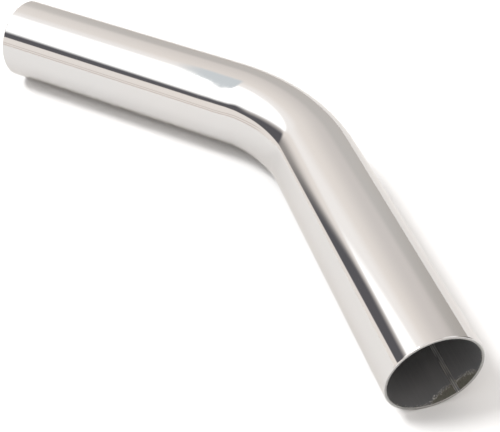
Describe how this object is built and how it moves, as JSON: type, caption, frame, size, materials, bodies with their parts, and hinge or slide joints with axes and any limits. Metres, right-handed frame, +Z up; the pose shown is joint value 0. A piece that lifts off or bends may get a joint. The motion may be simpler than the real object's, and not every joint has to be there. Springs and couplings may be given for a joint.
{
  "type": "flue elbow",
  "caption": "Plain-ended polished stainless steel tube elbow that turns a flue or exhaust run through 45 degrees, with a straight leg at each end and a seam weld along its length.",
  "frame": {"origin": "centre of the inlet face, on the tube's axis", "axes": "+Y into the tube along the inlet leg, -X towards the side that the tube bends to, +Z up and square to the plane of the bend, so that the elbow lies flat on its side"},
  "size_m": [0.1851, 0.3606, 0.0508],
  "materials": {
    "polished_tube": "polished",
    "weld_bead": "satin"
  },
  "bodies": {
    "root": {"tube_wall": "polished_tube", "seam_weld": "weld_bead"}
  },
  "joints": []
}
